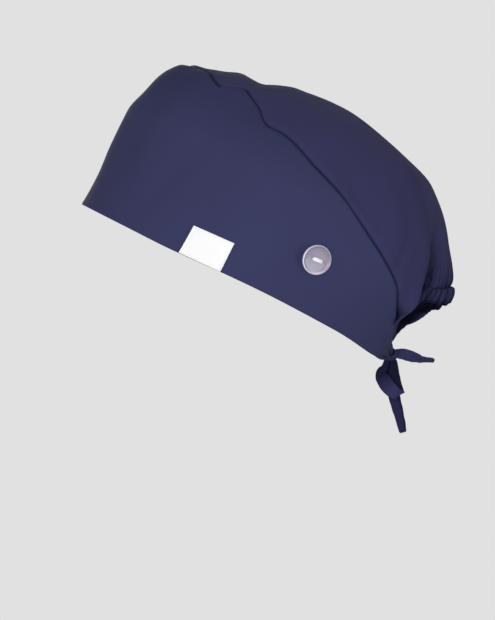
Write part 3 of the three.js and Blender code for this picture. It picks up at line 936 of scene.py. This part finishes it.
def makeCasing():
    columns, rows, probes = casing["columns"], casing["rows"], casing["probes"]
    sections = []
    for i in range(columns + 1):
        across = mix(1 - casing["end"], casing["end"] - 1, i / columns)
        station = copysign(2 - abs(across), across if across else 1)
        share = abs(station) - 1
        line = crownLine(station)
        top = riseAt(station, casingHeight(station) + casing["intoCrown"])
        spine = [gathered(line(top * k / probes), share, top * k / probes) for k in range(probes + 1)]
        sections.append((station, spine, edgeAt(station)))
    lengths = lengthsOf([spine[0] for _, spine, _ in sections])

    # Round the section: from the stitched top down the outer side, round the bottom and up the inner side.
    def placed(i, j):
        station, spine, edge = sections[i]
        around = casing["wrapped"] * pi * (2 * j / rows - 1)
        up = (1 - cos(around)) / 2
        side = -sin(around)
        k = min(int(up * probes), probes - 1)
        point = spine[k].lerp(spine[k + 1], up * probes - k)
        upward = (spine[k + 1] - spine[k]).normalized()
        outward = edge.cross(upward).normalized()
        share = abs(station) - 1
        under = smooth(share, 0, casing["grow"]) * (1 - smooth(share, *casing["flapEnd"]))
        under *= 1 if station > 0 else casing["underRight"]
        swing = Matrix.Rotation(radians(mix(casing["tilt"], casing["tiltUnder"], under)), 3, edge)
        point = spine[probes] + swing @ (point - spine[probes])
        upward, outward = swing @ upward, swing @ outward
        grown, along = casingGrown(station), lengths[i] / lengths[-1]
        shift = (0.5 * ripple(along * 30, up * 1.2, 23) + 0.3 * side) * (1 - up)
        wave = pleatAt(station, shift) - 0.6 + 0.4 * ripple(along * 130, up * 2, 25) * (1 - up)
        pinch = 0.5 + 0.5 * sin(pi * up) ** 0.7
        relief = casing["pleatHeight"] * wave * pinch
        thick = casing["halfThick"] * (0.35 + 0.65 * grown)
        out = signedPower(side, 0.75) * thick + relief * (0.4 + 0.6 * side) * grown
        scallop = casing["scallop"] * wave * (1 - up) ** 3 * grown
        return worn(point + outward * (out - casing["inset"]) - upward * scallop)

    def flatPlace(i, j):
        return lengths[i] * casing["fullness"] * mm, casing["height"] * 2 * j / rows * mm

    # The section has its relief already. Painted shade: the casing is painted darker, most in the valleys of
    # the pleats and on the turned-in lower edge.
    def paintedShades(i, j):
        station, up = sections[i][0], (1 + cos(2 * pi * j / rows)) / 2
        valley = (1 - pleatAt(station)) / 2
        dark = valley + casing["underShade"] * smooth(1 - up, 0.6, 1)
        return 0, casing["shade"] + casingGrown(station) * dark

    sheet = clothGrid(columns, rows, placed, flatPlace)
    reliefOn(sheet, paintedShades)
    piece = finishedPiece(sheet, "casing_cloth", crownNavy, ["hem_casing"])
    return thickened(piece, casing["cloth"])


casingPiece = makeCasing()
print("casing ready")


# ---- sweeps: ties, knot and threads ----


def smoothPath(points, steps):
    path = []
    ends = [2 * points[0] - points[1], *points, 2 * points[-1] - points[-2]]
    for a, b, c, d in zip(ends, ends[1:], ends[2:], ends[3:]):
        for n in range(steps):
            t = n / steps
            square = (2 * a - 5 * b + 4 * c - d) * t * t
            cube = (3 * b - a - 3 * c + d) * t ** 3
            path.append(0.5 * (2 * b + (c - a) * t + square + cube))
    path.append(points[-1].copy())
    return path


tubeGirth = 0.024  # metres of cloth round every tube, for the weave or the twist of its yarn


# A tube along a path: sectionAt(share, angle) gives how far its skin is to the side and to the front.
def sweep(path, sides, acrossAt, sectionAt, ring=False):
    lengths = lengthsOf(path)
    last = len(path) - 1

    def placed(i, j):
        share = lengths[i] / lengths[-1]
        before, after = ((i - 1) % last, (i + 1) % last) if ring else (max(i - 1, 0), min(i + 1, last))
        ahead = (path[after] - path[before]).normalized()
        across = acrossAt(share)
        across = (across - ahead * across.dot(ahead)).normalized()
        front = ahead.cross(across)
        side, out = sectionAt(share, 2 * pi * j / sides)
        return (path[i] + across * side + front * out) * mm

    def flatPlace(i, j):
        return lengths[i] * mm, j / sides * tubeGirth

    return clothGrid(last, sides, placed, flatPlace, weld=0.002)


tie = {
    "halfThick": 0.75,
    "steps": 14,
    "sides": 28,
    "crush": 0.4,
    "fineCrush": 0.2,
    "cup": 0.6,
    "rearShade": 0.5,  # painted shade on the rear edge of the hanging tail
    "closing": 1.1,  # over this length its free end closes
    "rounding": 0.12,  # by this share it gets narrower there
    "roundingBack": 0.45,
    # share of the length, how dark the painted shade is where the cloth lies under the other turns
    "shade": {
        "tie_tail_back": [(0, 0.5), (0.1, 0), (1, 0)],
        "tie_loop": [
            (0, 0.6), (0.1, 0.85), (0.2, 0.9), (0.32, 0.45), (0.44, 0.1), (0.55, 0.15), (0.64, 0.9), (1, 0.9),
        ],
        "tie_tail_down": [(0, 0.85), (0.5, 0.55), (0.7, 0.5), (1, 0.45)],
    },
}

# how far to the side, back and up in the upright frame, how far the cloth's width is turned out of the
# sideways direction, which way it then lies, and the width
tieRoutes = {
    "tie_tail_back": [
        (0.5, 95.5, -43, 60, 85, 5),
        (1, 98.5, -43, 62, 88, 7),
        (0, 102, -43.6, 58, 72, 7.6),
        (-2, 106.5, -45, 45, 68, 8.2),
        (-4.5, 111, -46.3, 24, 75, 8.6),
        (-5.5, 115.6, -46.9, 15, 88, 8),
        (-5.6, 120.2, -47.3, 14, 90, 8),
    ],
    "tie_loop": [
        (1.5, 91.6, -46, 90, -10, 3),
        (2.5, 91, -48.4, 88, -15, 3.6),
        (3.2, 89.8, -51.8, 85, -20, 5.6),
        (3.6, 87.8, -55.2, 85, -5, 8.3),
        (3.6, 90, -60, 85, 24, 8.8),
        (3.2, 92.9, -64, 85, 36, 8.4),
        (2.4, 96.6, -67, 88, 36, 7.4),
        (0.4, 98.9, -67.9, 92, 30, 6.4),
        (-2, 98.5, -66.2, 100, 20, 7),
        (-3.2, 97.2, -62.4, 118, 12, 7.8),
        (-3, 95.9, -56.5, 122, 12, 7.8),
        (-1.8, 95.2, -50.2, 115, 8, 6.6),
        (0, 94.8, -46, 100, 5, 4),
    ],
    "tie_tail_down": [
        (-3, 93.5, -45, 88, 0, 4.5),
        (-4.2, 93.6, -54, 88, 3, 7),
        (-4.4, 94.6, -62, 86, 8, 8),
        (-4, 96.2, -69.5, 70, 10, 7.6),
        (-3.5, 97.7, -75.4, 62, 12, 7.2),
        (-3, 99.5, -82.1, 55, 13, 6.6),
        (-2.6, 101.4, -90.6, 50, 13, 5.6),
    ],
}


def makeTie(name, rows, seed):
    path = smoothPath([Vector(row[:3]) for row in rows], tie["steps"])
    lengths = lengthsOf(path)
    length, spread = lengths[-1], len(rows) - 1
    rounding = tie["roundingBack" if name == "tie_tail_back" else "rounding"]
    rearShade = tie["rearShade"] if name == "tie_tail_down" else 0
    shadeAt = throughRows(tie["shade"][name])

    def read(share, column):
        at = share * spread
        k = min(int(at), spread - 1)
        return mix(rows[k][column], rows[k + 1][column], smooth(at - k, 0, 1))

    def acrossAt(share):
        turn, way = radians(read(share, 3)), radians(read(share, 4))
        return Vector((cos(turn), sin(turn) * cos(way), sin(turn) * sin(way)))

    # The cloth is folded over twice, so it is flat with round edges, and a little cupped and crushed.
    def sectionAt(share, angle):
        width = read(share, 5)
        closing = clamp((1 - share) * length / tie["closing"]) ** 0.5 if share > 0.5 else 1
        side, out = signedPower(cos(angle), 0.55), signedPower(sin(angle), 0.7)
        crush = tie["crush"] * ripple(share * length / 5, side * 1.3, seed)
        crush += tie["fineCrush"] * ripple(share * length / 2.2, side * 2.6, seed + 1)
        cup = tie["cup"] * (side * side - 0.4)
        narrowed = side * width / 2 * (1 - rounding * (1 - closing))
        return narrowed, out * tie["halfThick"] * closing + crush + cup

    # Painted shade along the tie, and on the hanging tail's rear edge.
    def shades(i, j):
        rear = smooth(cos(2 * pi * j / tie["sides"]), 0.2, 1)
        return 0, shadeAt(lengths[i] / length) + rearShade * rear

    sheet = sweep(path, tie["sides"], acrossAt, sectionAt)
    reliefOn(sheet, shades)
    closeEnds(sheet)
    return finishedPiece(sheet, name + "_cloth", tieNavy, [name]), length


tiePieces = {name: makeTie(name, rows, 31 + 4 * n) for n, (name, rows) in enumerate(tieRoutes.items())}

knot = {
    "along": 102.1,
    "up": 2.7,
    "steps": 72,
    "sides": 24,
    # shift to the side, tilt in degrees, half depth, half height, width, half thickness
    "wraps": [
        (-3.4, 14, 4.1, 3.2, 8.2, 0.8),
        (3.2, -16, 4.3, 2.9, 7.6, 0.8),
        (0.2, 74, 4.5, 4.6, 4.8, 0.7),
    ],
}


def makeKnot():
    centre = worn(Vector((0, knot["along"], knot["up"]))) / mm
    joined = emptyCloth()
    for n, (shift, tilt, deep, tall, width, thick) in enumerate(knot["wraps"]):
        turned = Matrix.Rotation(radians(tilt), 3, "Y")
        path = []
        for k in range(knot["steps"] + 1):
            angle = 2 * pi * k / knot["steps"]
            loop = Vector((0.5 * sin(angle * 2 + n), deep * cos(angle), tall * sin(angle)))
            path.append(centre + turned @ loop + Vector((shift, 0, 0)))
        along = turned @ Vector((1, 0, 0))

        def sectionAt(share, angle):
            side, out = signedPower(cos(angle), 0.6), signedPower(sin(angle), 0.7)
            turn = Vector((cos(2 * pi * share), sin(2 * pi * share)))
            crease = 0.5 * ripple(turn.x * 1.5 + side * 3, turn.y * 1.5, 51 + n)
            return side * width / 2 * (1 + 0.12 * turn.x), out * thick + crease - 0.5 * side * side

        joinTo(joined, sweep(path, knot["sides"], lambda share: along, sectionAt, ring=True))
    return finishedPiece(joined, "tie_knot_cloth", tieNavy, ["tie_knot"])


knotPiece = makeKnot()
print("ties ready")


# ---- label ----

label = {
    # turn and level of its corners: bottom front, bottom rear, top front, top rear
    "corners": [(70.5, 0.2), (85.3, 1.2), (69.8, 18.6), (83.8, 19.9)],
    "width": 26.8,
    "height": 18.8,
    "thickness": 0.5,
    "columns": 66,
    "rows": 46,
    "crowding": 0.4,
    "lift": 0.35,
    # height, how far in from the edge or corner, half width
    "turnedEdge": (0.25, 0, 0.8),
    "groove": (-0.22, 1.3, 0.5),
    "cornerLift": (0.3, 0, 2.5),
}


# A place on the outer face of the band: z points out of it, y up and x along the rim.
def seatOn(turn, level, above=0.0):
    size = abs(turn)
    step = 0.5
    around = formPoint(size + step, level) - formPoint(size - step, level)
    upward = formPoint(size, level + step) - formPoint(size, level - step)
    out = around.cross(upward).normalized()
    place = formPoint(size, level)
    if turn < 0:
        place.x, out.x = -place.x, -out.x
    place += out * (cap["wall"] / 2 + above)
    side = Vector((0, 0, 1)).cross(out).normalized()
    seat = Matrix((side, out.cross(side), out)).transposed().to_4x4()
    seat.translation = place
    return seat


def labelPoint(u, v, above):
    bottomFront, bottomRear, topFront, topRear = label["corners"]
    turn, level = (
        mix(mix(bottomFront[k], bottomRear[k], u), mix(topFront[k], topRear[k], u), v) for k in (0, 1)
    )
    return worn(seatOn(turn, level, bandDrift(turn, level) + above).translation)


def makeLabel():
    columns, rows = label["columns"], label["rows"]
    width, height = label["width"], label["height"]

    # Its edges are turned under, with a stitched groove just inside them.
    def placed(i, j):
        u, v = crowdedEnds(i / columns, label["crowding"]), crowdedEnds(j / rows, label["crowding"])
        edge = min(u * width, (1 - u) * width, v * height, (1 - v) * height)
        lifted = label["lift"] + 0.12 * ripple(u * 4, v * 3, 61)
        lifted += swell(edge, *label["turnedEdge"])
        lifted += swell(edge, *label["groove"])
        corner = min(u, 1 - u) * width + min(v, 1 - v) * height
        return labelPoint(u, v, lifted + label["thickness"] / 2 + swell(corner, *label["cornerLift"]))

    def flatPlace(i, j):
        return i / columns * width * mm, j / rows * height * mm

    sheet = clothGrid(columns, rows, placed, flatPlace)
    piece = finishedPiece(sheet, "label_cloth", labelWhite, ["label"])
    return thickened(piece, label["thickness"])


labelPiece = makeLabel()
print("label ready")


# ---- buttons ----

button = {
    "turn": 104.5,
    "level": 33.3,
    "stitchTurn": 6,
    "stitchShift": 0.6,
    "leanBack": 14,
    # painted highlights on the clear rim: the side in degrees, the radius, how far round, how strong
    "paintedHighlights": [(200, 8.75, 95, 1), (200, 8.75, 400, 0.35), (286, 8.05, 42, 0.95)],
    "highlightReach": 0.45,
    "holesApart": 5.1,
    "holeRadius": 1.15,
    "rounding": 0.15,
    "sides": 96,
    # distance from the middle and height above the cloth, round the section from the back to the face
    "profile": [
        (0, 1.05), (5, 1.0), (7.4, 1.05), (8.4, 1.35), (8.95, 1.85), (9.1, 2.4), (9.05, 2.95), (8.85, 3.3),
        (8.6, 3.45), (8.35, 3.4), (8.15, 3.1), (7.95, 2.75), (7.65, 2.5), (7.1, 2.36), (6, 2.26), (4, 2.2),
        (2, 2.16), (0, 2.15),
    ],
}


def buttonSeat(turn):
    seat = seatOn(turn, button["level"])
    turned = Matrix.Rotation(radians(button["stitchTurn"]), 4, "Z")
    return seat @ Matrix.Rotation(radians(copysign(button["leanBack"], turn)), 4, "Y") @ turned


def placeOnCap(mesh, seat):
    for vert in mesh.verts:
        vert.co = worn(seat @ vert.co)


def makeButton(side, turn):
    seat = buttonSeat(turn)
    disc = emptyCloth()
    paintedHighlightLayer = placeOf(disc)
    outline = [disc.verts.new((r, 0, z)) for r, z in button["profile"]]
    edges = [disc.edges.new(pair) for pair in zip(outline, outline[1:])]
    bmesh.ops.spin(
        disc, geom=outline + edges, cent=(0, 0, 0), axis=(0, 0, 1), dvec=(0, 0, 0), angle=2 * pi,
        steps=button["sides"], use_merge=True,
    )
    bmesh.ops.remove_doubles(disc, verts=disc.verts, dist=0.001)
    # Painted highlights on the clear rim, kept in the attribute "place".
    for vert in disc.verts:
        heading = degrees(atan2(vert.co.y, vert.co.x))
        paintedHighlight = 0
        for middle, radius, spread, strength in button["paintedHighlights"]:
            off = (heading - middle + 180) % 360 - 180
            near = bell(vert.co.xy.length - radius, button["highlightReach"])
            paintedHighlight = max(paintedHighlight, strength * bell(off, spread) * near)
        vert[paintedHighlightLayer] = (0, 0, paintedHighlight)
    placeOnCap(disc, seat)
    piece = finishedPiece(disc, f"button_{side}_disc", buttonGrey, [f"button_{side}"])
    drill = bmesh.new()
    for way in (-1, 1):
        hole = Matrix.Translation((button["stitchShift"] + way * button["holesApart"] / 2, 0, 2))
        bmesh.ops.create_cone(
            drill, cap_ends=True, segments=32, radius1=button["holeRadius"], radius2=button["holeRadius"],
            depth=12, matrix=hole,
        )
    placeOnCap(drill, seat)
    cutter = inScene("drill", meshFrom(drill, "drill"))
    cut = piece.modifiers.new("holes", "BOOLEAN")
    cut.object = cutter
    cut.solver = "EXACT"
    depsgraph = bpy.context.evaluated_depsgraph_get()
    bored = bpy.data.meshes.new_from_object(piece.evaluated_get(depsgraph))
    piece.modifiers.clear()
    piece.data = bored
    bpy.data.objects.remove(cutter)
    smoothShaded(bored)
    return roundedEdges(piece, button["rounding"], 50)


thread = {
    "strands": 8,
    "radius": 0.28,
    "steps": 6,
    "sides": 10,
    "top": 3.0,
    "layer": 0.42,  # every second strand lies this much higher
    "spread": 0.9,
    "stray": 0.65,
}


def makeStitch(side, turn):
    seat = buttonSeat(turn)
    half = button["holesApart"] / 2
    joined = emptyCloth()

    def sectionAt(share, angle):
        return thread["radius"] * cos(angle), thread["radius"] * sin(angle)

    for n in range(thread["strands"]):
        lane = (n / (thread["strands"] - 1) - 0.5) * 2
        cross = lane * thread["spread"]
        top = thread["top"] + thread["layer"] * (n % 2) + 0.4 * ripple(n * 1.7, 0, 71)
        sway = thread["stray"] * ripple(n * 2.3, 1, 73)
        reach = half + 0.65 - 0.5 * lane * lane + thread["stray"] * ripple(n * 1.3, 2, 75)
        points = [
            (-half - 0.1, cross * 0.5, 0.4),
            (-half - 0.25, cross * 0.7, 1.6),
            (-reach, cross * 0.9, 2.5),
            (-reach + 0.55, cross, top),
            (-half * 0.4, cross * 0.9 + 2 * sway, top + 0.28),
            (half * 0.4, cross * 0.8 - sway, top + 0.28),
            (reach - 0.55, cross * 0.9 - sway, top),
            (reach, cross * 0.9, 2.5),
            (half + 0.25, cross * 0.7, 1.6),
            (half + 0.1, cross * 0.5, 0.4),
        ]
        path = smoothPath([Vector(point) for point in points], thread["steps"])
        strand = sweep(path, thread["sides"], lambda share: Vector((0, 1, 0.01)), sectionAt)
        for vert in strand.verts:
            vert.co = worn(seat @ (vert.co / mm + Vector((button["stitchShift"], 0, 0))))
        closeEnds(strand)
        joinTo(joined, strand)
    name = f"button_stitch_{side}"
    return finishedPiece(joined, name, whiteThread, [f"button_thread_{side}"])


for side, turn in (("left", button["turn"]), ("right", -button["turn"])):
    makeButton(side, turn)
    makeStitch(side, turn)
print("buttons ready")


# ---- floor, light and camera ----

studio = {
    "aim": (0, 0.0078, -0.0171),
    "distance": 6,
    "frameHeight": 0.372,
    "sensorHeight": 24,
    "backdrop": 0.752,
    "ambient": 0.34,
    "floor": -4,
    # name, place, size, power
    "softboxes": [
        ("key", (2.6, -0.5, 0.2), 1.2, 50),
        ("side", (1.9, 2.0, -0.3), 1.2, 20),
        ("glint", (1.7, -2.3, 0.5), 0.5, 5),
        ("rim", (-1.2, 1.8, 1.9), 1.2, 7),
        ("far", (-2.6, -0.4, 0.3), 1.4, 26),
    ],
}

floorDisc = bmesh.new()
bmesh.ops.create_circle(floorDisc, cap_ends=True, segments=96, radius=5)
floor = inScene("floor", meshFrom(floorDisc, "floor"))
floor.location = (0, 0, studio["floor"])
floorPaint, floorTree, floorShader = newMaterial("Pale floor")
feed(floorTree, floorShader, {"Base Color": (0.8, 0.8, 0.8, 1), "Roughness": 0.9})
floor.data.materials.append(floorPaint)

# A pale backdrop that sheds a softer light than it shows.
world = bpy.data.worlds.new("studio")
world.use_nodes = True
rays = addNode(world.node_tree, "LightPath").outputs["Is Camera Ray"]
shown = {"Factor": rays, "A": studio["ambient"], "B": studio["backdrop"]}
strength = addNode(world.node_tree, "Mix", shown).outputs["Result"]
backdrop = world.node_tree.nodes["Background"]
feed(world.node_tree, backdrop, {"Color": (1, 1, 1, 1), "Strength": strength})
bpy.context.scene.world = world
bpy.context.scene.view_settings.view_transform = "Standard"

for name, place, size, power in studio["softboxes"]:
    light = bpy.data.lights.new(name, "AREA")
    light.shape = "SQUARE"
    light.size = size
    light.energy = power
    lamp = inScene(name, light)
    lamp.location = place
    lamp.rotation_euler = (Vector(studio["aim"]) - Vector(place)).to_track_quat("-Z", "Y").to_euler()

cameraData = bpy.data.cameras.new("camera")
cameraData.sensor_fit = "VERTICAL"
cameraData.sensor_height = studio["sensorHeight"]
cameraData.lens = studio["sensorHeight"] * studio["distance"] / studio["frameHeight"]
cameraData.clip_end = 100
camera = inScene("camera", cameraData)
camera.location = Vector(studio["aim"]) + Vector((studio["distance"], 0, 0))
camera.rotation_euler = (radians(90), 0, radians(90))
bpy.context.scene.camera = camera
